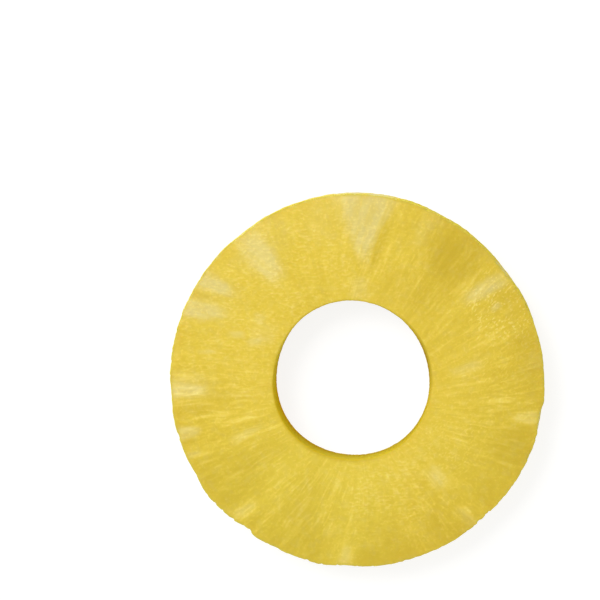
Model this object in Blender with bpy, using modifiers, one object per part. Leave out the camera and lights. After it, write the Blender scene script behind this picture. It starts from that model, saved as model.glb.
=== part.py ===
# A cored pineapple ring that lies flat: one slice across a peeled fruit, cut round outside and bored
# through the middle.
# Metres, +Z up. The origin is at the middle of the ring's box, on the face that the ring rests on.

import math

import bmesh
import bpy
from mathutils import Vector, noise

MM = 0.001

# Driving dimensions
OUTER_RADIUS = 42.58 * MM
HOLE_RADIUS = 17.96 * MM
THICKNESS = 10.0 * MM

# Broad waves: lobes round the ring, height, and the angle of one crest in degrees
HOLE_SHIFT = Vector((-0.96, 0.30)) * MM  # the corer went in a little off the middle
BORE_WAVES = [(2, 0.22 * MM, -85), (3, 0.14 * MM, -34), (4, 0.08 * MM, 38)]
RIM_WAVES = [(2, 0.12 * MM, -40), (3, 0.18 * MM, -17), (4, 0.08 * MM, -5), (5, 0.04 * MM, 2)]
WALL_BULGE = 0.06 * MM  # how far the outer wall swells at mid height

# Shallow dimples that the fruit's eyes leave in the outer wall, and with a negative depth the flesh that
# stands proud between them: angle, depth, reach before and after that angle in degrees, and height as a
# share of the thickness
EYES = [
    (3, 0.22 * MM, 5, 4, 0.8),
    (15, 0.12 * MM, 3, 3, 0.5),
    (26, -0.24 * MM, 4, 4, 0.6),
    (38, 0.42 * MM, 4, 4, 0.7),
    (63, 0.16 * MM, 4, 4, 0.2),
    (87, 0.10 * MM, 7, 6, 0.6),
    (106, 0.12 * MM, 3, 3, 0.4),
    (127, 0.30 * MM, 4, 5, 0.8),
    (147, 0.14 * MM, 5, 4, 0.3),
    (158, -0.14 * MM, 4, 4, 0.6),
    (184, 0.36 * MM, 5, 5, 0.7),
    (208, 0.26 * MM, 6, 3, 0.5),
    (217, -0.44 * MM, 2.4, 6, 0.7),
    (234, 0.86 * MM, 4, 1.8, 0.8),
    (244, 0.34 * MM, 2, 2, 0.8),
    (259, -0.32 * MM, 4, 3, 0.7),
    (267, 0.36 * MM, 3, 4, 0.7),
    (280, -0.12 * MM, 5, 5, 0.4),
    (294, 0.20 * MM, 4, 4, 0.1),
    (315, 0.38 * MM, 6, 4, 0.6),
    (350, 0.76 * MM, 5, 2.2, 0.8),
]
EYE_HEIGHT = 5.0 * MM

# The cut faces: the rounding of their edges, the top's fall towards the rim, and its low waves
RIM_ROUND = 0.4 * MM
BORE_ROUND = 0.5 * MM
FOOT_ROUND = 0.4 * MM
CROWN_DROP = 0.9 * MM
CROWN_WIDTH = 21.0 * MM
SLICE_WEDGE = Vector((-0.10, 0.16)) * MM  # how much thicker the slice is at +X and at +Y
SWELL = 0.16 * MM
SWELL_ROUND = 2.6  # waves round the ring, as noise cells on the unit circle
SWELL_CELL = 9.0 * MM  # and along the radius
FIBRE_CENTRE = Vector((0.0, -3.5)) * MM  # the fibres fan out from here, not from the hole's middle

TURN_STEPS = 160
FACE_STEPS = 10
WALL_STEPS = 5
ARC_STEPS = 3


def arc(centre_r, centre_z, radius, start, end):
    """Points of a quarter round in the (r, z) plane, from start to end in degrees."""
    angles = [math.radians(start + (end - start) * i / ARC_STEPS) for i in range(ARC_STEPS + 1)]
    return [(centre_r + radius * math.cos(a), centre_z + radius * math.sin(a)) for a in angles]


def between(start, end, steps):
    """The points strictly between two points, for a straight run of that many steps."""
    return [
        tuple(a + (b - a) * i / steps for a, b in zip(start, end, strict=True)) for i in range(1, steps)
    ]


def cross_section():
    """The ring's closed section: over the top, down the outside, along the foot and up the bore."""
    bore_top = arc(HOLE_RADIUS + BORE_ROUND, THICKNESS - BORE_ROUND, BORE_ROUND, 180, 90)
    rim_top = arc(OUTER_RADIUS - RIM_ROUND, THICKNESS - RIM_ROUND, RIM_ROUND, 90, 0)
    rim_foot = arc(OUTER_RADIUS - FOOT_ROUND, FOOT_ROUND, FOOT_ROUND, 0, -90)
    bore_foot = arc(HOLE_RADIUS + FOOT_ROUND, FOOT_ROUND, FOOT_ROUND, 270, 180)
    return [
        *bore_top,
        *between(bore_top[-1], rim_top[0], FACE_STEPS),
        *rim_top,
        *between(rim_top[-1], rim_foot[0], WALL_STEPS),
        *rim_foot,
        *bore_foot,
        *between(bore_foot[-1], bore_top[0], WALL_STEPS),
    ]


def turned(name, section):
    """The section turned once round Z, as a new mesh."""
    profile = bpy.data.meshes.new(name + "_profile")
    count = len(section)
    profile.from_pydata([(r, 0, z) for r, z in section], [(i, (i + 1) % count) for i in range(count)], [])
    lathe = bpy.data.objects.new(name + "_lathe", profile)
    bpy.context.scene.collection.objects.link(lathe)
    screw = lathe.modifiers.new("turn", "SCREW")
    screw.steps = screw.render_steps = TURN_STEPS
    screw.use_merge_vertices = True
    screw.merge_threshold = 0.01 * MM
    graph = bpy.context.evaluated_depsgraph_get()
    mesh = bpy.data.meshes.new_from_object(lathe.evaluated_get(graph))
    mesh.name = name
    bpy.data.objects.remove(lathe)
    bpy.data.meshes.remove(profile)
    return mesh


def ease(x):
    """0 below 0, 1 above 1, and a smooth step between."""
    x = min(1.0, max(0.0, x))
    return x * x * (3 - 2 * x)


def waves(angle, parts):
    """The sum of cosine waves round the ring at that angle in radians."""
    return sum(height * math.cos(lobes * (angle - math.radians(crest))) for lobes, height, crest in parts)


def eye_depth(angle, z):
    """How deep the eyes' dimples are at that place on the outer wall."""
    depth = 0.0
    for eye_angle, eye_dip, before, after, share in EYES:
        off = (math.degrees(angle) - eye_angle + 180) % 360 - 180
        reach = before if off < 0 else after
        rise = (z - share * THICKNESS) / EYE_HEIGHT
        depth += eye_dip * math.exp(-((off / reach) ** 2) - rise**2)
    return depth


def swell(x, y):
    """The low waves of the cut top, stretched along the fibres."""
    out = Vector((x, y)) - FIBRE_CENTRE
    round_ring = out.normalized() * SWELL_ROUND
    return SWELL * noise.noise(Vector((round_ring.x, round_ring.y, out.length / SWELL_CELL)))


def uneven(point):
    """Where a point of the true turned ring lies on the real, uneven one."""
    angle = math.atan2(point.y, point.x)
    radius = math.hypot(point.x, point.y)
    height = point.z / THICKNESS
    outwards = (radius - HOLE_RADIUS) / (OUTER_RADIUS - HOLE_RADIUS)

    bulge = WALL_BULGE * (1 - (2 * height - 1) ** 2)
    rim_move = waves(angle, RIM_WAVES) + bulge - eye_depth(angle, point.z)
    bore_move = waves(angle, BORE_WAVES)
    near_rim = ease(outwards) ** 2
    radius += rim_move * near_rim + bore_move * (1 - ease(outwards))
    shift = HOLE_SHIFT * (1 - ease(outwards))
    x = radius * math.cos(angle) + shift.x
    y = radius * math.sin(angle) + shift.y

    fall = CROWN_DROP * max(0.0, 1 - (OUTER_RADIUS - radius) / CROWN_WIDTH) ** 2
    wedge = SLICE_WEDGE.x * x / OUTER_RADIUS + SLICE_WEDGE.y * y / OUTER_RADIUS
    z = point.z + height * (wedge - fall + swell(x, y))
    return Vector((x, y, z))


def centre_on_foot(mesh):
    """Moves the mesh so that the origin is at the middle of its box and on its foot."""
    low = Vector([min(v.co[i] for v in mesh.vertices) for i in range(3)])
    high = Vector([max(v.co[i] for v in mesh.vertices) for i in range(3)])
    middle = (low + high) / 2
    for vertex in mesh.vertices:
        vertex.co -= Vector((middle.x, middle.y, low.z))


def flesh_material():
    """Ripe yellow flesh, moist on its cut faces."""
    material = bpy.data.materials.new("pineapple_flesh")
    material.use_nodes = True
    shader = material.node_tree.nodes["Principled BSDF"]
    shader.inputs["Base Color"].default_value = (0.76, 0.58, 0.08, 1)
    shader.inputs["Roughness"].default_value = 0.4
    shader.inputs["Metallic"].default_value = 0.0
    return material


def pineapple_ring():
    """The ring as one object, its section turned and then made uneven."""
    mesh = turned("pineapple_ring", cross_section())
    for vertex in mesh.vertices:
        vertex.co = uneven(vertex.co)
    centre_on_foot(mesh)
    shape = bmesh.new()
    shape.from_mesh(mesh)
    bmesh.ops.recalc_face_normals(shape, faces=shape.faces)
    shape.to_mesh(mesh)
    shape.free()
    mesh.shade_smooth()
    mesh.materials.clear()
    mesh.materials.append(flesh_material())
    return bpy.data.objects.new("pineapple_ring", mesh)


def main():
    for old in list(bpy.data.objects):
        bpy.data.objects.remove(old)
    parts = bpy.data.collections.new("pineapple_ring")
    bpy.context.scene.collection.children.link(parts)
    parts.objects.link(pineapple_ring())


main()
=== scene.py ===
# A cored pineapple ring that lies flat on a pale studio floor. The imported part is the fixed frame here:
# metres, +Z up, origin on the resting face. The dictionaries give lengths in millimetres and angles in
# degrees.

import math

import bpy
import numpy as np
from mathutils import Matrix, Vector, noise


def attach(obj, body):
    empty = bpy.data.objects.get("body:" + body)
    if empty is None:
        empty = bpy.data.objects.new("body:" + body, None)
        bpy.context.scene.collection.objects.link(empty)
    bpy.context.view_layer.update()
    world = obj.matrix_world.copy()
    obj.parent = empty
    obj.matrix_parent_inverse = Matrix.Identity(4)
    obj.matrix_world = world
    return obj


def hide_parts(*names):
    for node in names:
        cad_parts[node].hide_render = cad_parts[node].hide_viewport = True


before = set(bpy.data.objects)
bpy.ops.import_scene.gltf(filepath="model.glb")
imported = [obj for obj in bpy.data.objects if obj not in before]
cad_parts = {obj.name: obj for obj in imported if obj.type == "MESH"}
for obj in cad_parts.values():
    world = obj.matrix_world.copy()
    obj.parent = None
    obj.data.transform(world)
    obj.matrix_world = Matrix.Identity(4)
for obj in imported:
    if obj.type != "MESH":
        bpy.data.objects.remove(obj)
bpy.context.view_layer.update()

mm = 0.001

# the ring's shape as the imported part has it, on a finer grid
ringShape = {
    "outerRadius": 42.58,
    "holeRadius": 17.96,
    "thickness": 10.0,
    "holeShift": (-0.96, 0.30),
    "boreWaves": [(2, 0.22, -85), (3, 0.14, -34), (4, 0.08, 38)],  # lobes, height, angle of a crest
    "rimWaves": [(2, 0.12, -40), (3, 0.18, -17), (4, 0.08, -5), (5, 0.04, 2)],
    "wallBulge": 0.06,
    "eyes": [  # angle, depth, reach before and after it, height as a share of the thickness
        (3, 0.22, 5, 4, 0.8),
        (15, 0.12, 3, 3, 0.5),
        (26, -0.24, 4, 4, 0.6),
        (38, 0.42, 4, 4, 0.7),
        (63, 0.16, 4, 4, 0.2),
        (87, 0.10, 7, 6, 0.6),
        (106, 0.12, 3, 3, 0.4),
        (127, 0.30, 4, 5, 0.8),
        (147, 0.14, 5, 4, 0.3),
        (158, -0.14, 4, 4, 0.6),
        (184, 0.36, 5, 5, 0.7),
        (208, 0.26, 6, 3, 0.5),
        (217, -0.44, 2.4, 6, 0.7),
        (234, 0.86, 4, 1.8, 0.8),
        (244, 0.34, 2, 2, 0.8),
        (259, -0.32, 4, 3, 0.7),
        (267, 0.36, 3, 4, 0.7),
        (280, -0.12, 5, 5, 0.4),
        (294, 0.20, 4, 4, 0.1),
        (315, 0.38, 6, 4, 0.6),
        (350, 0.76, 5, 2.2, 0.8),
    ],
    "eyeHeight": 5.0,
    "rimRound": 0.22,
    "boreRound": 0.4,
    "footRound": 0.4,
    "crownDrop": 0.9,
    "crownWidth": 21.0,
    "sliceWedge": (-0.10, 0.16),
    "swell": 0.16,
    "swellRound": 2.6,
    "swellCell": 9.0,
    "swellCentre": (0.0, -3.5),
    "turnSteps": 880,
    "topSteps": 54,
    "footSteps": 12,
    "outerWallSteps": 18,
    "boreWallSteps": 12,
    "topArcSteps": 5,
    "footArcSteps": 3,
}

# the way that the fibres run: they leave the core on the radius and lean to one side or the other
fibres = {
    "leans": [  # angle round the ring, lean from the radius
        (2, 12),
        (24, 12),
        (46, 3),
        (60, -1),
        (74, -12),
        (92, -16),
        (112, -2),
        (138, 16),
        (158, 12),
        (172, 2),
        (200, -7),
        (226, -9),
        (244, -15),
        (262, -13),
        (284, 0),
        (312, 5),
        (336, 12),
        (350, 14),
    ],
    "leanBlend": 7.0,
    "leanRadius": 30.0,  # where a fibre's place round the ring is read
    "wander": 0.016,  # how far a fibre strays, in radians
    "wanderCell": 7.0,
    "waver": 0.0035,
    "waverCell": 2.2,
}

# the fine relief, all of it low: heights in millimetres
ringRelief = {
    "fruitlet": 0.05,  # broad wedges that fan out, one to a fruitlet
    "fruitletRound": 7.0,
    "fruitletAlong": 0.05,
    "fibre": 0.012,
    "fibreRound": 40.0,
    "fibreAlong": 0.16,
    "grain": 0.016,
    "grainCell": 1.1,
    "boreFibre": 0.06,
    "boreFibreRound": 30.0,
    "boreFibreAlong": 0.12,
    "wallFibre": 0.07,
    "wallGrain": 0.6,  # as a share of the fibres'
    "wallLump": 0.12,
    "wallLumpCell": 2.6,
    "wallLumpFlatness": 1.4,
    "eyeFull": 0.32,  # the dip at which an eye shows in full
    "tear": 0.26,  # nicks in the outer edge of the cut face
    "tearRounds": (58.0, 24.94),
    "tearStart": 0.04,
    "tearSpan": 0.6,
    "tearReach": 0.7,
    "tearDrop": 1.6,
    "raggedRound": 3.1,
}

# where the ring's edges take another colour, mostly painted shade: angles round the ring, each with its reach
# either way
edgeColouring = {
    "boreEdge": 0.32,  # how much of the bore's colour, a painted shade, its upper edge takes
    "boreEdgeShaded": 0.75,  # and how much more where it is darkest
    "boreEdgeReach": 0.36,  # how far it reaches onto the cut face, in millimetres
    "boreEdgeReachWide": 0.44,  # and how much further on the wide side and where it is darkest
    "boreEdgeReachShaded": 0.20,
    "wallTop": 0.30,  # how much of that painted shade the wall's top takes, and how much more where it is darkest and where light falls on it
    "wallTopShaded": 0.60,
    "wallTopLit": 0.40,
    "wide": 250,  # the middle of the wide side
    "wideReach": 55,
    "paintedShadeSide": 200,  # where the bore's painted shade is most orange, as flesh in shade looks
    "paintedShadeSideReach": 40,
    "shaded": 18,  # where the painted shade along its upper edge is darkest
    "shadedReach": 38,
    "lit": 325,  # where light falls on the rounding of its upper edge, which takes more painted shade there
    "litReach": 32,
    "plain": 115,  # where its upper edge is as pale as the flesh
    "plainReach": 55,
    "rimEdge": 0.45,  # how far the rim's darker colour reaches from its corner, in millimetres: a darker edge all round, with painted shade on top
    "rimPaintedShadeAt": 135,  # where its painted shade is strongest: the side where the key light falls on the rim's rounding
}


def smooth(x):
    x = np.clip(x, 0.0, 1.0)
    return x * x * (3 - 2 * x)


def noiseField(*axes, seed=0.0):
    # Perlin noise at each place of some equally shaped arrays
    shape = np.broadcast(*axes).shape
    flat = [np.broadcast_to(axis, shape).ravel() for axis in axes]
    values = [noise.noise(Vector((x + seed, y + seed, z + seed))) for x, y, z in zip(*flat)]
    return np.array(values).reshape(shape)


def fanNoise(outX, outY, along, perRadian, perMillimetre, seed=0.0):
    # noise by direction, and by the way out along it
    return noiseField(outX * perRadian, outY * perRadian, along * perMillimetre, seed=seed)


def cellNoise(x, y, z, cell, seed):
    # noise in cells of a set size
    return noiseField(x / cell, y / cell, z / cell, seed=seed)


def turnFrom(angle, middle):
    # how far an angle in radians lies from one in degrees, in degrees either way
    return (np.degrees(angle) - middle + 180) % 360 - 180


def around(turn, settings, name, power=2):
    # 1 at a named angle, falling to 0 past its reach
    return np.exp(-((turnFrom(turn, settings[name]) / settings[name + "Reach"]) ** power))


def arcPoints(centre, radius, start, end, steps):
    # points of a quarter round in the (r, z) plane, each with its outward direction
    angles = [math.radians(start + (end - start) * i / steps) for i in range(steps + 1)]
    return [
        (centre[0] + radius * math.cos(a), centre[1] + radius * math.sin(a), math.cos(a), math.sin(a))
        for a in angles
    ]


def straightPoints(start, end, steps):
    # the points strictly between two others, all facing as the first does
    return [
        (start[0] + (end[0] - start[0]) * i / steps, start[1] + (end[1] - start[1]) * i / steps, *start[2:])
        for i in range(1, steps)
    ]


def ringSection(shape):
    # over the top, down the outside, back along the foot and up the bore
    inner, outer, top = shape["holeRadius"], shape["outerRadius"], shape["thickness"]
    rimRound, boreRound, footRound = shape["rimRound"], shape["boreRound"], shape["footRound"]
    topSteps, footSteps = shape["topArcSteps"], shape["footArcSteps"]
    boreTop = arcPoints((inner + boreRound, top - boreRound), boreRound, 180, 90, topSteps)
    rimTop = arcPoints((outer - rimRound, top - rimRound), rimRound, 90, 0, topSteps)
    rimFoot = arcPoints((outer - footRound, footRound), footRound, 0, -90, footSteps)
    boreFoot = arcPoints((inner + footRound, footRound), footRound, 270, 180, footSteps)
    points = [
        *boreTop,
        *straightPoints(boreTop[-1], rimTop[0], shape["topSteps"]),
        *rimTop,
        *straightPoints(rimTop[-1], rimFoot[0], shape["outerWallSteps"]),
        *rimFoot,
        *straightPoints(rimFoot[-1], boreFoot[0], shape["footSteps"]),
        *boreFoot,
        *straightPoints(boreFoot[-1], boreTop[0], shape["boreWallSteps"]),
    ]
    return np.array(points).T


def waveSum(angle, waves):
    return sum(height * np.cos(lobes * (angle - math.radians(crest))) for lobes, height, crest in waves)


def eyeDepth(angle, z, shape):
    depth = 0.0
    for eyeAngle, eyeDip, before, after, share in shape["eyes"]:
        off = turnFrom(angle, eyeAngle)
        reach = np.where(off < 0, before, after)
        rise = (z - share * shape["thickness"]) / shape["eyeHeight"]
        depth = depth + eyeDip * np.exp(-((off / reach) ** 2) - rise**2)
    return depth


def swellNoise(x, y, shape):
    # low swellings of the cut face that fan out from a point in the hole
    outX, outY = x - shape["swellCentre"][0], y - shape["swellCentre"][1]
    distance = np.hypot(outX, outY)
    return fanNoise(outX / distance, outY / distance, distance, shape["swellRound"], 1 / shape["swellCell"])


def fibreLean(turn, way):
    # the fibres' lean from the radius at each angle round the ring, in radians
    angles, leans = np.array(way["leans"]).T
    near = 1 / (turnFrom(np.asarray(turn)[..., None], angles) ** 2 + way["leanBlend"] ** 2) ** 2
    return np.radians((near * leans).sum(-1) / near.sum(-1))


def fibrePlace(turn, x, y, z, shape, way):
    # unrolls the flesh along its fibres: a direction that is the same all along one, and the way out along it
    lean = fibreLean(turn, way)
    distance = np.hypot(x, y)
    wander = way["wander"] * cellNoise(x, y, z, way["wanderCell"], seed=6.4)
    wander += way["waver"] * cellNoise(x, y, z, way["waverCell"], seed=1.9)
    across = np.arctan2(y, x) - np.tan(lean) * np.log(distance / way["leanRadius"]) + wander
    return np.cos(across), np.sin(across), distance + shape["thickness"] - z


def rimTears(turn, fromRim, fromTop, relief):
    # how deep small nicks cut into the outer edge of the cut face, more in some stretches than in others
    out = np.cos(turn), np.sin(turn), 0 * turn
    nicks = sum(fanNoise(*out, perRadian, 1, seed=perRadian) for perRadian in relief["tearRounds"])
    ragged = 0.3 + 0.7 * smooth(0.5 + 2.2 * fanNoise(*out, relief["raggedRound"], 1, seed=7.3))
    depth = relief["tear"] * ragged * smooth((nicks - relief["tearStart"]) / relief["tearSpan"])
    return depth * np.exp(-((fromRim / relief["tearReach"]) ** 2) - (fromTop / relief["tearDrop"]) ** 2)


def boreShare(turn, fromBore, upper, boreWall, height, colouring):
    # how much of the bore's colour, a painted shade, its wall and its upper edge take, more towards the
    # wall's foot
    shaded, lit, wide = (around(turn, colouring, name) for name in ("shaded", "lit", "wide"))
    coloured = 1 - around(turn, colouring, "plain", 4)
    reach = colouring["boreEdgeReach"] + colouring["boreEdgeReachWide"] * wide
    reach = reach + colouring["boreEdgeReachShaded"] * shaded
    edge = colouring["boreEdge"] * coloured + colouring["boreEdgeShaded"] * shaded**2
    edge = edge * np.exp(-((fromBore / reach) ** 2)) * upper
    top = colouring["wallTop"] * coloured
    top = top + colouring["wallTopShaded"] * shaded + colouring["wallTopLit"] * lit
    return np.maximum(edge, boreWall * (1 - (1 - top) * height))


def ringPoints(shape, relief, way, colouring):
    # the uneven ring: one row for each step of the turn, one column for each point of the section
    sectionR, sectionZ, faceR, faceZ = ringSection(shape)
    turn = np.radians(np.arange(shape["turnSteps"]) * 360 / shape["turnSteps"])[:, None]
    cosTurn, sinTurn = np.cos(turn), np.sin(turn)
    inner, outer, thickness = shape["holeRadius"], shape["outerRadius"], shape["thickness"]
    z = np.broadcast_to(sectionZ, (len(turn), len(sectionZ)))
    height = z / thickness
    outwards = smooth((sectionR - inner) / (outer - inner))

    bulge = shape["wallBulge"] * (1 - (2 * height - 1) ** 2)
    rimMove = waveSum(turn, shape["rimWaves"]) + bulge - eyeDepth(turn, z, shape)
    radius = sectionR + rimMove * outwards**2 + waveSum(turn, shape["boreWaves"]) * (1 - outwards)
    radius = radius - rimTears(turn, outer - sectionR, thickness - z, relief)
    x = radius * cosTurn + shape["holeShift"][0] * (1 - outwards)
    y = radius * sinTurn + shape["holeShift"][1] * (1 - outwards)
    fall = shape["crownDrop"] * np.clip(1 - (outer - radius) / shape["crownWidth"], 0, 1.1) ** 2
    wedge = (shape["sliceWedge"][0] * x + shape["sliceWedge"][1] * y) / outer
    z = z + height * (wedge - fall + shape["swell"] * swellNoise(x, y, shape))

    # the fine relief moves each point along its face
    whole = np.ones_like(z)
    onTop = smooth(faceZ) * whole
    outerWall, boreWall = (np.maximum(facing, 0) * whole for facing in (faceR, -faceR))
    fibreX, fibreY, along = fibrePlace(turn, x, y, z, shape, way)
    fruitlets = fanNoise(fibreX, fibreY, along, relief["fruitletRound"], relief["fruitletAlong"], seed=3.1)
    ridges = fanNoise(fibreX, fibreY, along, relief["fibreRound"], relief["fibreAlong"], seed=11.7)
    grains = cellNoise(x, y, z, relief["grainCell"], seed=5.9)
    boreFibres = fanNoise(cosTurn, sinTurn, z, relief["boreFibreRound"], relief["boreFibreAlong"], seed=2.2)
    lumps = cellNoise(x, y, z * relief["wallLumpFlatness"], relief["wallLumpCell"], seed=8.8)
    move = onTop * (relief["fruitlet"] * fruitlets + relief["fibre"] * ridges + relief["grain"] * grains)
    move += relief["boreFibre"] * boreWall * boreFibres + relief["wallLump"] * outerWall * lumps
    move += relief["wallFibre"] * outerWall * (ridges + relief["wallGrain"] * grains)
    points = np.stack([x + move * faceR * cosTurn, y + move * faceR * sinTurn, z + move * faceZ], axis=-1)

    eyeShare = outerWall * np.clip(np.abs(eyeDepth(turn, z, shape)) / relief["eyeFull"], 0, 1)
    fromCorner = np.hypot(outer - sectionR, thickness - sectionZ) / colouring["rimEdge"]
    # painted shade on the rim's rounding, strongest on the side that the key light falls on
    rimPaintedShade = 0.75 + 0.25 * np.cos(turn - math.radians(colouring["rimPaintedShadeAt"]))
    masks = {
        "outerWall": smooth(outerWall * 1.3),
        "rimEdge": np.exp(-(fromCorner**2)) * rimPaintedShade,
        # the bore's painted shade on its wall and upper edge
        "paintedBoreShade": boreShare(turn, sectionR - inner, sectionZ > thickness / 2, boreWall, height, colouring),
        "borePaintedShadeSide": around(turn, colouring, "paintedShadeSide") * whole,
        "eyeCore": smooth(eyeShare * 2 - 1),
        "eyeSeam": 4 * eyeShare * (1 - eyeShare),
        "rimward": outwards * whole,
    }
    return points, np.stack([fibreX, fibreY, along], axis=-1), masks


def closedMesh(name, points):
    # a grid of points that closes on itself both ways, as one mesh with its faces pointing out
    rows, columns = points.shape[:2]
    index = np.arange(rows * columns).reshape(rows, columns)
    nextRow, nextColumn = np.roll(index, -1, 0), np.roll(index, -1, 1)
    corners = np.stack([index, nextColumn, np.roll(nextRow, -1, 1), nextRow], axis=-1)
    mesh = bpy.data.meshes.new(name)
    mesh.from_pydata((points.reshape(-1, 3) * mm).tolist(), [], corners.reshape(-1, 4).tolist())
    mesh.validate()
    mesh.shade_smooth()
    return mesh


def addMask(mesh, name, values):
    # a value for each vertex that the materials read with an Attribute node
    layer = mesh.attributes.new(name, "FLOAT", "POINT")
    layer.data.foreach_set("value", values.astype(np.float32).ravel())


def addPlaces(mesh, name, values):
    layer = mesh.attributes.new(name, "FLOAT_VECTOR", "POINT")
    layer.data.foreach_set("vector", values.astype(np.float32).ravel())


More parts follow.
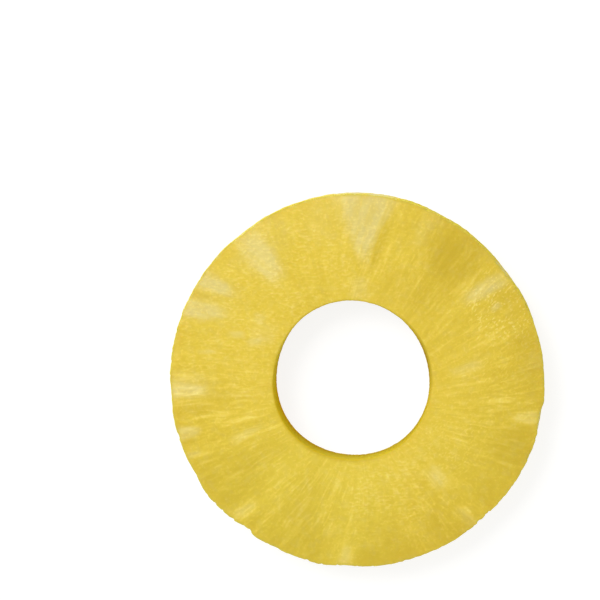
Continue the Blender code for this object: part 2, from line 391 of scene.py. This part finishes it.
# marks of the cut face: angle, start and end as shares of the way from hole to rim, width at each end,
# strength, and for some their own lean in place of the fibres'
fleshMarks = {
    "milky": [  # fruitlets cut through their pale stringy middle
        (86.8, 0.40, 1.22, 3.2, 16.4, 0.92, 0),
        (93.6, 0.78, 1.10, 2.4, 4.6, 0.25, 4),
        (81.0, 0.76, 1.10, 2.4, 5.0, 0.22, -4),
        (87.6, 0.86, 1.12, 1.4, 3.0, -0.35, 0),
        (80.4, 0.34, 0.78, 1.4, 2.6, -0.40, -10),
        (86.6, 0.40, 0.66, 2.0, 3.6, 0.20, 1),
        (88.0, 0.02, 0.24, 4.0, 4.0, 0.30, 0),
        (127.8, 0.46, 0.92, 4.8, 6.2, 0.90, 2),
        (126.0, 0.62, 1.04, 3.0, 6.0, 0.45, 14),
        (146.0, 0.68, 1.06, 2.6, 5.2, 0.80, 12),
        (155.6, 0.64, 1.08, 2.8, 5.4, 0.90, 14),
        (158.7, 0.38, 0.53, 1.6, 1.6, 0.42, 18),
        (159.3, 0.22, 0.34, 1.8, 1.8, 0.45, 18),
        (147.0, 0.28, 0.40, 2.0, 2.2, 0.35),
        (169.2, 0.60, 0.76, 1.0, 1.0, 0.45, 10),
        (183.4, 0.66, 1.10, 1.8, 4.2, 0.55, -4),
        (186.0, 0.30, 0.72, 1.2, 1.6, 0.10),
        (197.2, 0.80, 1.02, 1.8, 3.4, 0.75),
        (204.6, 0.86, 1.00, 1.2, 1.8, 0.40),
        (205.8, 0.22, 0.56, 1.4, 2.2, 0.32, 2),
        (229.2, 0.74, 0.99, 1.7, 2.4, 0.36, -20),
        (266.3, 0.80, 1.02, 1.9, 3.4, 0.36),
        (309.8, 0.33, 0.53, 3.4, 3.6, 0.44, 0),
        (309.0, 0.76, 1.04, 1.2, 3.4, 0.28),
        (348.2, 0.76, 1.00, 1.7, 3.2, 0.44),
        (6.6, 0.82, 1.02, 2.6, 4.2, 0.15),
        (7.4, 0.16, 0.44, 1.8, 2.6, 0.35),
        (36.0, 0.52, 0.96, 2.8, 4.0, 0.70, -6),
        (28.4, 0.68, 0.78, 1.4, 1.6, 0.45, 10),
        (65.6, 0.62, 1.12, 2.0, 6.0, 0.20),
        # wide milky washes
        (122.0, 0.62, 1.12, 9.0, 16.0, 0.16),
        (100.0, 0.60, 1.16, 10.0, 14.0, 0.16),
        (150.0, 0.56, 1.12, 9.0, 16.0, 0.16),
        (153.0, 0.12, 0.34, 4.0, 6.0, 0.25),
        (182.0, 0.62, 1.12, 5.0, 8.0, 0.35),
        (134.0, 0.60, 0.90, 3.0, 4.0, 0.20),
    ],
    "deep": [  # clear juicy flesh between the fruitlets
        (53.0, 0.50, 1.20, 9.0, 17.0, 1.10, 0),
        (50.0, 0.05, 0.80, 8.0, 12.0, 0.55),
        (68.0, 0.00, 0.40, 8.0, 8.0, 0.35),
        (80.6, 0.30, 0.80, 1.4, 3.0, 0.65, -10),
        (13.0, 0.70, 1.16, 4.0, 9.0, 0.85),
        (26.0, 0.74, 1.14, 7.0, 11.0, 0.5),
        (2.0, 0.60, 1.12, 4.0, 7.0, 0.35),
        (355.0, 0.82, 1.12, 4.0, 6.0, 0.55),
        (338.0, 0.60, 1.16, 8.0, 18.0, 0.85),
        (322.0, 0.74, 1.12, 6.0, 10.0, 0.40),
        (306.0, 0.84, 1.12, 4.0, 6.0, 0.45),
        (299.0, 0.64, 1.12, 4.0, 9.0, 0.65),
        (284.0, 0.74, 1.14, 9.0, 14.0, 0.75),
        (273.0, 0.80, 1.12, 5.0, 7.0, 0.70),
        (250.0, 0.56, 1.16, 12.0, 20.0, 0.70),
        (246.0, 0.20, 0.70, 7.0, 9.0, 0.40),
        (219.0, 0.46, 1.14, 10.0, 19.0, 0.65),
        (218.0, 0.10, 0.56, 6.0, 8.0, 0.45),
        (234.5, 0.70, 1.08, 1.2, 2.4, 0.55),
        (200.4, 0.84, 1.06, 1.0, 2.0, 0.6),
        (207.5, 0.74, 1.06, 1.2, 2.2, 0.4),
        (190.0, 0.62, 1.08, 3.0, 5.0, 0.6),
        (187.0, 0.20, 0.66, 2.4, 3.4, 0.3),
        (151.4, 0.80, 1.04, 1.4, 1.8, 0.4),
        (5.4, 0.80, 1.10, 3.0, 5.0, 0.45),
        (315.0, 0.82, 1.10, 4.0, 6.0, 0.30),
        (229.2, 0.72, 1.00, 2.2, 3.0, -0.60, -20),
        (266.3, 0.78, 1.02, 2.4, 4.0, -0.60),
        (348.2, 0.72, 1.02, 2.2, 4.0, -0.50),
    ],
    "unripe": [  # greener flesh
        (236.0, -0.20, 1.30, 24.0, 46.0, 1.00),
        (268.0, -0.20, 1.20, 16.0, 30.0, 0.80),
        (330.0, -0.20, 1.20, 14.0, 30.0, 0.35),
    ],
    "light": [  # flesh that has gone paler
        (104.0, 0.40, 1.16, 14.0, 22.0, 0.75),
        (136.0, 0.10, 1.00, 18.0, 24.0, 0.45),
        (78.0, 0.60, 1.12, 5.0, 7.0, 0.40),
        (229.0, 0.70, 1.00, 3.0, 3.4, 1.50),
        (266.3, 0.76, 1.02, 2.6, 4.0, 0.60),
        (348.2, 0.70, 1.02, 2.4, 3.8, 1.30),
        (6.0, 0.10, 0.44, 4.0, 6.0, 0.50),
        (158.0, 0.10, 0.76, 12.0, 16.0, 0.55),
        (170.0, 0.40, 1.00, 7.0, 12.0, 0.35),
        (178.0, 0.00, 0.30, 6.0, 8.0, 0.40),
        (232.0, 0.10, 0.70, 3.0, 5.0, 0.40),
        (268.0, 0.08, 0.36, 5.0, 8.0, 0.45),
        (300.0, 0.00, 0.34, 14.0, 16.0, 0.60),
        (325.0, 0.05, 0.40, 6.0, 9.0, 0.45),
        (311.0, 0.30, 0.58, 4.0, 5.0, 0.95),
        (342.0, 0.10, 0.40, 5.0, 7.0, 0.35),
        (158.7, 0.38, 0.53, 2.0, 2.2, 0.60, 18),
        (169.2, 0.58, 0.78, 1.4, 1.6, 0.80, 10),
    ],
    # where the flesh is stringy, and where it shows short flecks that lie level, aslant or along the fibres;
    # the flecks are partly painted glints
    "stringy": [
        (12.0, 0.15, 1.20, 16.0, 34.0, 0.6),
        (44.0, -0.1, 1.1, 8.0, 16.0, 0.5),
        (68.0, -0.1, 1.1, 8.0, 18.0, 0.2),
        (86.0, 0.0, 0.8, 5.0, 8.0, 0.3),
        (180.0, -0.1, 1.1, 8.0, 16.0, 0.4),
        (204.0, -0.1, 1.1, 16.0, 40.0, 0.65),
        (240.0, 0.1, 1.1, 10.0, 24.0, 0.7),
        (262.0, 0.1, 1.0, 8.0, 14.0, 0.6),
        (304.0, 0.4, 1.1, 8.0, 16.0, 0.6),
        (344.0, 0.15, 1.20, 14.0, 32.0, 0.65),
    ],
    "flatFleck": [
        (128.0, -0.1, 1.1, 32.0, 64.0, 1.0),
        (178.0, 0.1, 1.1, 10.0, 20.0, 0.6),
        (80.0, -0.1, 1.1, 12.0, 24.0, 0.5),
        (278.0, -0.1, 0.8, 14.0, 26.0, 0.9),
        (304.0, -0.1, 0.6, 12.0, 18.0, 0.6),
    ],
    "slantFleck": [
        (27.0, 0.4, 1.1, 12.0, 28.0, 0.90),
        (4.0, 0.2, 1.1, 8.0, 16.0, 0.35),
        (326.0, 0.0, 0.6, 12.0, 20.0, 0.35),
        (346.0, 0.1, 0.9, 6.0, 10.0, 0.2),
    ],
    "fibreFleck": [
        (54.0, 0.1, 1.1, 10.0, 20.0, 0.7),
        (78.0, 0.1, 1.1, 8.0, 18.0, 0.35),
        (208.0, 0.1, 1.1, 14.0, 36.0, 0.5),
        (246.0, 0.2, 1.1, 14.0, 30.0, 0.7),
        (302.0, 0.5, 1.1, 14.0, 24.0, 0.7),
        (352.0, 0.3, 1.0, 8.0, 16.0, 0.4),
    ],
}


def markMask(points, rows, shape, way):
    # soft spindles that lie along the fibres
    span = shape["outerRadius"] - shape["holeRadius"]
    total = np.zeros(points.shape[:2])
    for angle, start, end, startWidth, endWidth, strength, *ownLean in rows:
        turn = math.radians(angle)
        heading = turn + (math.radians(ownLean[0]) if ownLean else float(fibreLean(turn, way)))
        reach = shape["holeRadius"] + span * (start + end) / 2
        offX = points[..., 0] - reach * math.cos(turn)
        offY = points[..., 1] - reach * math.sin(turn)
        share = (offX * math.cos(heading) + offY * math.sin(heading)) / (span * (end - start)) * 2
        across = np.abs(offX * math.sin(heading) - offY * math.cos(heading))
        width = np.maximum(startWidth + (endWidth - startWidth) * (share + 1) / 2, 0.3 * startWidth) / 2
        total += strength * np.exp(-(across / width) ** 3.2) * np.exp(-np.abs(share) ** 4)
    return np.clip(total, 0, 1.2)


def makeRing(shape, relief, way, colouring, marks):
    points, places, masks = ringPoints(shape, relief, way, colouring)
    low, high = points.reshape(-1, 3).min(0), points.reshape(-1, 3).max(0)
    points = points - [(low[0] + high[0]) / 2, (low[1] + high[1]) / 2, low[2]]
    mesh = closedMesh("pineappleFlesh", points)
    # the walls have a duller finish than the cut faces
    sectionFace = ringSection(shape)[3]
    onWall = np.abs(sectionFace + np.roll(sectionFace, -1)) < 1.9
    mesh.polygons.foreach_set("material_index", np.tile(onWall.astype(int), len(points)))
    for name, rows in marks.items():
        masks[name] = markMask(points, rows, shape, way)
    for name, values in masks.items():
        addMask(mesh, name, values)
    addPlaces(mesh, "fibrePlace", places)
    ring = bpy.data.objects.new("pineappleFlesh", mesh)
    bpy.context.scene.collection.objects.link(ring)
    return ring


def addNode(tree, kind, **settings):
    node = tree.nodes.new(kind)
    for name, value in settings.items():
        setattr(node, name, value)
    return node


def feed(tree, socket, value):
    # a link from another socket, or a plain value
    if isinstance(value, bpy.types.NodeSocket):
        tree.links.new(value, socket)
    else:
        socket.default_value = value


def mathNode(tree, operation, *values, clamp=False):
    node = addNode(tree, "ShaderNodeMath", operation=operation, use_clamp=clamp)
    for socket, value in zip(node.inputs, values):
        feed(tree, socket, value)
    return node.outputs[0]


def remap(tree, value, low, high, toLow=0.0, toHigh=1.0):
    node = addNode(tree, "ShaderNodeMapRange", interpolation_type="SMOOTHSTEP")
    feed(tree, node.inputs["Value"], value)
    for label, limit in (("From Min", low), ("From Max", high), ("To Min", toLow), ("To Max", toHigh)):
        feed(tree, node.inputs[label], limit)
    return node.outputs["Result"]


def mixColour(tree, factor, a, b, way="MIX"):
    node = addNode(tree, "ShaderNodeMix", data_type="RGBA", blend_type=way)
    feed(tree, node.inputs["Factor"], factor)
    feed(tree, node.inputs["A"], a)
    feed(tree, node.inputs["B"], b)
    return node.outputs["Result"]


def addUp(tree, base, terms):
    # base, plus each value's distance from its middle times its weight
    total = base - sum(weight * middle for value, middle, weight in terms)
    for value, middle, weight in terms:
        total = mathNode(tree, "MULTIPLY_ADD", value, weight, total)
    return total


def attribute(tree, name, output="Fac"):
    return addNode(tree, "ShaderNodeAttribute", attribute_name=name).outputs[output]


def newGroup(name, inputs):
    group = bpy.data.node_groups.new(name, "ShaderNodeTree")
    for label, default in inputs.items():
        socket = group.interface.new_socket(label, in_out="INPUT", socket_type="NodeSocketFloat")
        socket.default_value = default
    group.interface.new_socket("Value", in_out="OUTPUT", socket_type="NodeSocketFloat")
    given = group.nodes.new("NodeGroupInput").outputs
    return group, given, group.nodes.new("NodeGroupOutput").inputs["Value"]


def placeGroup(tree, group, **values):
    node = tree.nodes.new("ShaderNodeGroup")
    node.node_tree = group
    for label, value in values.items():
        feed(tree, node.inputs[label], value)
    return node.outputs["Value"]


def vectorMath(tree, operation, a, b):
    node = addNode(tree, "ShaderNodeVectorMath", operation=operation)
    feed(tree, node.inputs[0], a)
    feed(tree, node.inputs[1], b)
    return node.outputs[0]


def combine(tree, *parts):
    node = addNode(tree, "ShaderNodeCombineXYZ")
    for socket, part in zip(node.inputs, parts):
        feed(tree, socket, part)
    return node.outputs[0]


def fibreNoiseGroup():
    # noise drawn out along the fibres: Round is how many cells fit in a radian, Along in a millimetre
    group, given, result = newGroup("fibreNoise", {"Round": 10.0, "Along": 0.1, "Seed": 0.0, "Detail": 1.0})
    scale = combine(group, given["Round"], given["Round"], given["Along"])
    place = vectorMath(group, "MULTIPLY", attribute(group, "fibrePlace", "Vector"), scale)
    place = vectorMath(group, "ADD", place, combine(group, 0.0, 0.0, given["Seed"]))
    field = addNode(group, "ShaderNodeTexNoise")
    field.inputs["Scale"].default_value = 1.0
    feed(group, field.inputs["Vector"], place)
    feed(group, field.inputs["Detail"], given["Detail"])
    feed(group, result, field.outputs["Fac"])
    return group


def fleshNoiseGroup():
    # noise in cells of a set size in millimetres, drawn out by Stretch in the direction Turn, in radians
    group, given, result = newGroup(
        "fleshNoise",
        {"Cell": 1.0, "Stretch": 1.0, "Turn": 0.0, "Seed": 0.0, "Detail": 0.0, "Roughness": 0.5, "Curl": 0.0},
    )
    turned = addNode(group, "ShaderNodeVectorRotate", rotation_type="Z_AXIS", invert=True)
    feed(group, turned.inputs["Vector"], addNode(group, "ShaderNodeTexCoord").outputs["Object"])
    feed(group, turned.inputs["Angle"], given["Turn"])
    scale = mathNode(group, "DIVIDE", 1 / mm, given["Cell"])
    drawnOut = mathNode(group, "DIVIDE", scale, given["Stretch"])
    place = vectorMath(group, "MULTIPLY", turned.outputs[0], combine(group, drawnOut, scale, scale))
    place = vectorMath(group, "ADD", place, combine(group, given["Seed"], given["Seed"], given["Seed"]))
    field = addNode(group, "ShaderNodeTexNoise")
    field.inputs["Scale"].default_value = 1.0
    feed(group, field.inputs["Vector"], place)
    for label, source in (("Detail", "Detail"), ("Roughness", "Roughness"), ("Distortion", "Curl")):
        feed(group, field.inputs[label], given[source])
    feed(group, result, field.outputs["Fac"])
    return group


flesh = {
    "deep": (0.570, 0.405, 0.020, 1),
    "ripe": (0.733, 0.555, 0.051, 1),
    "light": (0.800, 0.612, 0.077, 1),
    # the brightest flesh: painted glints of specks and flecks, and the palest fibres
    "glint": (0.900, 0.735, 0.150, 1),
    "milk": (0.012, 0.066, 0.140, 1),  # what milky flesh adds
    "unripe": (0.000, 0.018, 0.004, 1),  # what greener flesh adds
    "rim": (0.565, 0.460, 0.060, 1),  # along the outer edge: darker all round, and painted shade where the key light falls
    "edge": (0.530, 0.400, 0.024, 1),  # painted shade along the bore's upper edge
    # the same painted shade, more orange on the bore's shaded side
    "edgePaintedShadeSide": (0.610, 0.420, 0.010, 1),
    # painted shade down the bore's wall, darkest at its foot; the next, more orange, on its shaded side
    "bore": (0.330, 0.225, 0.010, 1),
    "borePaintedShadeSide": (0.500, 0.245, 0.002, 1),
    "wall": (0.565, 0.430, 0.032, 1),
    "wallPale": (0.670, 0.515, 0.060, 1),
    "tone": 0.50,  # where plain flesh lies on the way from deep to glint
    "roughness": (0.34, 0.50),
    "coatRoughness": 0.22,
    "ior": 1.38,
    "subsurfaceScale": 2.4,
    "subsurfaceRadius": (1.0, 0.78, 0.28),
    "bump": 0.10,  # how high one unit of the fine height stands
}
fleshFinish = {  # a film of juice lies on the cut faces, and none on the walls
    "cutFlesh": {"coat": 0.30, "specular": 0.25, "subsurface": 0.35},
    "wallFlesh": {"coat": 0.0, "specular": 0.0, "subsurface": 0.80},
}


def fibre(tree, **values):
    return placeGroup(tree, bpy.data.node_groups["fibreNoise"], **values)


def grain(tree, **values):
    return placeGroup(tree, bpy.data.node_groups["fleshNoise"], **values)


def times(tree, *values):
    product = values[0]
    for value in values[1:]:
        product = mathNode(tree, "MULTIPLY", product, value)
    return product


def fleck(tree, field, low, zone, seed):
    # short bright flecks that come in clusters: partly painted glints, partly pale cut fibres
    cluster = remap(tree, grain(tree, Cell=5.0, Detail=1.0, Seed=seed), 0.36, 0.60, 0.35, 1.0)
    return times(tree, remap(tree, field, low, 0.74), cluster, attribute(tree, zone))


def fleshPatterns(tree):
    # the patterns that colour and relief share: mottling, specks, strings and three kinds of fleck; the
    # specks and flecks are partly painted glints
    stringy = addUp(tree, 0.25, [(attribute(tree, "stringy"), 0.0, 0.75)])
    presence = remap(tree, fibre(tree, Round=6.0, Along=0.12, Seed=40.0, Detail=1.0), 0.42, 0.58)
    strings = fibre(tree, Round=30.0, Along=0.11, Seed=4.0, Detail=0.0)
    threads = fibre(tree, Round=50.0, Along=0.26, Seed=6.0, Detail=0.0)
    strands = fibre(tree, Round=17.0, Along=0.06, Seed=5.0, Detail=1.0)
    flat = grain(tree, Cell=0.50, Stretch=2.2, Turn=0.05, Seed=21.0, Curl=0.2)
    slant = grain(tree, Cell=0.42, Stretch=1.6, Turn=0.82, Seed=31.0)
    fine = fibre(tree, Round=54.0, Along=0.80, Seed=71.0, Detail=0.0)
    return {
        "mottle": grain(tree, Cell=3.0, Detail=2.0, Roughness=0.50, Curl=0.2, Seed=3.0),
        "speck": remap(tree, grain(tree, Cell=0.55, Seed=17.0), 0.56, 0.78),
        "string": times(tree, remap(tree, strings, 0.52, 0.74), presence, stringy),
        "thread": times(tree, remap(tree, threads, 0.55, 0.76), stringy),
        "strands": times(tree, remap(tree, strands, 0.48, 0.66), stringy),
        "flatFleck": fleck(tree, flat, 0.42, "flatFleck", 50.0),
        "slantFleck": fleck(tree, slant, 0.57, "slantFleck", 60.0),
        "fibreFleck": fleck(tree, fine, 0.52, "fibreFleck", 80.0),
        "wallGrain": remap(tree, fibre(tree, Round=34.0, Along=0.20, Seed=61.0, Detail=3.0), 0.34, 0.68),
    }


def fleshTone(tree, look, patterns):
    # the plain flesh's colour, from deep to glint
    terms = [
        (fibre(tree, Round=3.2, Along=0.035, Seed=1.0, Detail=2.0), 0.5, 0.16),
        (fibre(tree, Round=11.0, Along=0.04, Seed=9.0, Detail=1.0), 0.5, 0.16),
        (patterns["mottle"], 0.5, 0.15),
        (grain(tree, Cell=1.1, Curl=0.3, Seed=13.0), 0.5, 0.18),
        # specks and flecks lift the tone towards painted glints
        (patterns["speck"], 0.1, 0.15),
        (patterns["string"], 0.0, 0.26),
        (patterns["thread"], 0.1, 0.23),
        (patterns["strands"], 0.25, 0.10),
        (patterns["flatFleck"], 0.12, 0.18),
        (patterns["slantFleck"], 0.04, 0.42),
        (patterns["fibreFleck"], 0.06, 0.27),
        (attribute(tree, "light"), 0.0, 0.12),
        (attribute(tree, "rimward"), 0.5, -0.10),
    ]
    ramp = addNode(tree, "ShaderNodeValToRGB")
    stops = [(0.0, look["deep"]), (0.46, look["ripe"]), (0.64, look["light"]), (1.0, look["glint"])]
    while len(ramp.color_ramp.elements) < len(stops):
        ramp.color_ramp.elements.new(0.5)
    for stop, (position, colour) in zip(ramp.color_ramp.elements, stops):
        stop.position = position
        stop.color = colour
    feed(tree, ramp.inputs["Fac"], addUp(tree, look["tone"], terms))
    return ramp.outputs["Color"]


def fleshColour(tree, look, patterns):
    streaks = fibre(tree, Round=22.0, Along=0.12, Seed=55.0, Detail=1.0)
    deepness = times(tree, attribute(tree, "deep"), remap(tree, streaks, 0.36, 0.64, 0.66, 0.46))
    deepness = mathNode(tree, "MULTIPLY_ADD", attribute(tree, "eyeSeam"), 0.5, deepness)
    wall = mixColour(tree, patterns["wallGrain"], look["wall"], look["wallPale"])
    milky = [
        (times(tree, attribute(tree, "milky"), remap(tree, streaks, 0.36, 0.62, 0.7, 1.1)), 0.0, 1.1),
        # the flecks' whitening is painted glint
        (patterns["flatFleck"], 0.0, 0.12),
        (patterns["slantFleck"], 0.0, 0.25),
        (remap(tree, grain(tree, Cell=1.7, Detail=1.0, Seed=66.0), 0.46, 0.74), 0.0, 0.13),
        (attribute(tree, "eyeCore"), 0.0, 0.45),
    ]
    paintedShadeSide, paintedBoreShade = attribute(tree, "borePaintedShadeSide"), attribute(tree, "paintedBoreShade")
    # the bore's painted shade is more orange on its shaded side
    edge = mixColour(tree, paintedShadeSide, look["edge"], look["edgePaintedShadeSide"])
    bore = mixColour(tree, paintedShadeSide, look["bore"], look["borePaintedShadeSide"])
    colour = mixColour(tree, deepness, fleshTone(tree, look, patterns), look["deep"])
    colour = mixColour(tree, times(tree, attribute(tree, "outerWall"), 0.85), colour, wall)
    colour = mixColour(tree, addUp(tree, 0.0, milky), colour, look["milk"], "ADD")
    colour = mixColour(tree, attribute(tree, "unripe"), colour, look["unripe"], "ADD")
    colour = mixColour(tree, attribute(tree, "rimEdge"), colour, look["rim"])
    # painted shade along the bore's upper edge and down its wall
    colour = mixColour(tree, remap(tree, paintedBoreShade, 0.0, 0.40), colour, edge)
    return mixColour(tree, remap(tree, paintedBoreShade, 0.36, 0.95), colour, bore)


def fleshHeight(tree, patterns):
    wrinkles = grain(tree, Cell=1.2, Stretch=1.6, Turn=0.1, Seed=90.0)
    terms = [
        (times(tree, patterns["wallGrain"], attribute(tree, "outerWall")), 0.0, 0.9),
        (patterns["mottle"], 0.5, 0.4),
        (times(tree, wrinkles, attribute(tree, "flatFleck")), 0.0, 0.25),
        (grain(tree, Cell=1.0, Seed=95.0), 0.5, 0.5),
        (patterns["speck"], 0.0, 0.12),
        (patterns["string"], 0.0, 0.25),
        (patterns["thread"], 0.0, 0.15),
        (patterns["flatFleck"], 0.0, 0.22),
        (patterns["slantFleck"], 0.0, 0.22),
        (patterns["fibreFleck"], 0.0, 0.22),
    ]
    return addUp(tree, 0.0, terms)


def fleshMaterial(name, look, finish):
    material = bpy.data.materials.new(name)
    material.use_nodes = True
    tree = material.node_tree
    shader = tree.nodes["Principled BSDF"]
    patterns = fleshPatterns(tree)
    feed(tree, shader.inputs["Base Color"], fleshColour(tree, look, patterns))
    paintedBoreShade = attribute(tree, "paintedBoreShade")
    rough = remap(tree, patterns["mottle"], 0.3, 0.7, *look["roughness"])
    feed(tree, shader.inputs["Roughness"], addUp(tree, 0.0, [(rough, 0.0, 1.0), (paintedBoreShade, 0.0, 0.5)]))
    coat = mathNode(tree, "MULTIPLY_ADD", paintedBoreShade, -2.5 * finish["coat"], finish["coat"], clamp=True)
    feed(tree, shader.inputs["Coat Weight"], coat)
    bump = addNode(tree, "ShaderNodeBump")
    bump.inputs["Distance"].default_value = look["bump"] * mm
    feed(tree, bump.inputs["Height"], fleshHeight(tree, patterns))
    feed(tree, shader.inputs["Normal"], bump.outputs["Normal"])

    shader.inputs["Coat Roughness"].default_value = look["coatRoughness"]
    shader.inputs["Specular IOR Level"].default_value = finish["specular"]
    shader.inputs["IOR"].default_value = look["ior"]
    shader.inputs["Subsurface Weight"].default_value = finish["subsurface"]
    shader.inputs["Subsurface Scale"].default_value = look["subsurfaceScale"] * mm
    shader.inputs["Subsurface Radius"].default_value = look["subsurfaceRadius"]
    return material


ring = makeRing(ringShape, ringRelief, fibres, edgeColouring, fleshMarks)
fibreNoiseGroup()
fleshNoiseGroup()
for name, finish in fleshFinish.items():
    ring.data.materials.append(fleshMaterial(name, flesh, finish))
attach(ring, "root")
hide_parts("pineapple_ring")
print("ring made:", len(ring.data.polygons), "faces")

# floor, light and camera
studio = {
    "floorColour": (0.22, 0.22, 0.219, 1),
    "floorGlow": 0.83,  # a lit white table
    "floorSize": 4000.0,
    "worldColour": (1.0, 0.99, 0.97, 1),
    "worldStrength": 0.50,
    "keyPlace": (-1150.0, 1150.0, 1900.0),
    "keySize": 1500.0,
    "keyPower": 51.0,
    "keyColour": (1.0, 0.985, 0.96),
}
view = {
    "aim": (-12.83, 18.49, 10.0),
    "distance": 690.0,
    "tilt": 5.2,  # away from straight down
    "towards": 47.0,  # the side that the camera leans to, from +X
    "fieldWidth": 136.2,  # what the picture spans at the aim
    "sensor": 36.0,
}


def makeFloor(setup):
    mesh = bpy.data.meshes.new("floor")
    half = setup["floorSize"] / 2 * mm
    corners = [(-half, -half, 0), (half, -half, 0), (half, half, 0), (-half, half, 0)]
    mesh.from_pydata(corners, [], [(0, 1, 2, 3)])
    floor = bpy.data.objects.new("floor", mesh)
    bpy.context.scene.collection.objects.link(floor)
    material = bpy.data.materials.new("paleFloor")
    material.use_nodes = True
    shader = material.node_tree.nodes["Principled BSDF"]
    shader.inputs["Base Color"].default_value = setup["floorColour"]
    shader.inputs["Roughness"].default_value = 0.7
    shader.inputs["Emission Color"].default_value = (1, 1, 1, 1)
    shader.inputs["Emission Strength"].default_value = setup["floorGlow"]
    mesh.materials.append(material)


def lightStudio(setup):
    world = bpy.data.worlds.new("studio")
    world.use_nodes = True
    background = world.node_tree.nodes["Background"]
    background.inputs["Color"].default_value = setup["worldColour"]
    background.inputs["Strength"].default_value = setup["worldStrength"]
    bpy.context.scene.world = world
    lamp = bpy.data.lights.new("key", "AREA")
    lamp.size = setup["keySize"] * mm
    lamp.energy = setup["keyPower"]
    lamp.color = setup["keyColour"]
    key = bpy.data.objects.new("key", lamp)
    key.location = Vector(setup["keyPlace"]) * mm
    key.rotation_euler = key.location.to_track_quat("Z", "Y").to_euler()
    bpy.context.scene.collection.objects.link(key)


def placeCamera(setup):
    tilt, towards = math.radians(setup["tilt"]), math.radians(setup["towards"])
    back = Vector((math.sin(tilt) * math.cos(towards), math.sin(tilt) * math.sin(towards), math.cos(tilt)))
    right = Vector((0, 1, 0)).cross(back).normalized()
    up = back.cross(right)
    camera = bpy.data.objects.new("camera", bpy.data.cameras.new("camera"))
    camera.data.sensor_width = setup["sensor"]
    camera.data.lens = setup["sensor"] * setup["distance"] / setup["fieldWidth"]
    camera.data.clip_start = 0.01
    place = (Vector(setup["aim"]) + back * setup["distance"]) * mm
    camera.matrix_world = Matrix.Translation(place) @ Matrix((right, up, back)).transposed().to_4x4()
    bpy.context.scene.collection.objects.link(camera)
    bpy.context.scene.camera = camera


makeFloor(studio)
lightStudio(studio)
placeCamera(view)
bpy.context.scene.view_settings.view_transform = "Standard"
print("studio made")
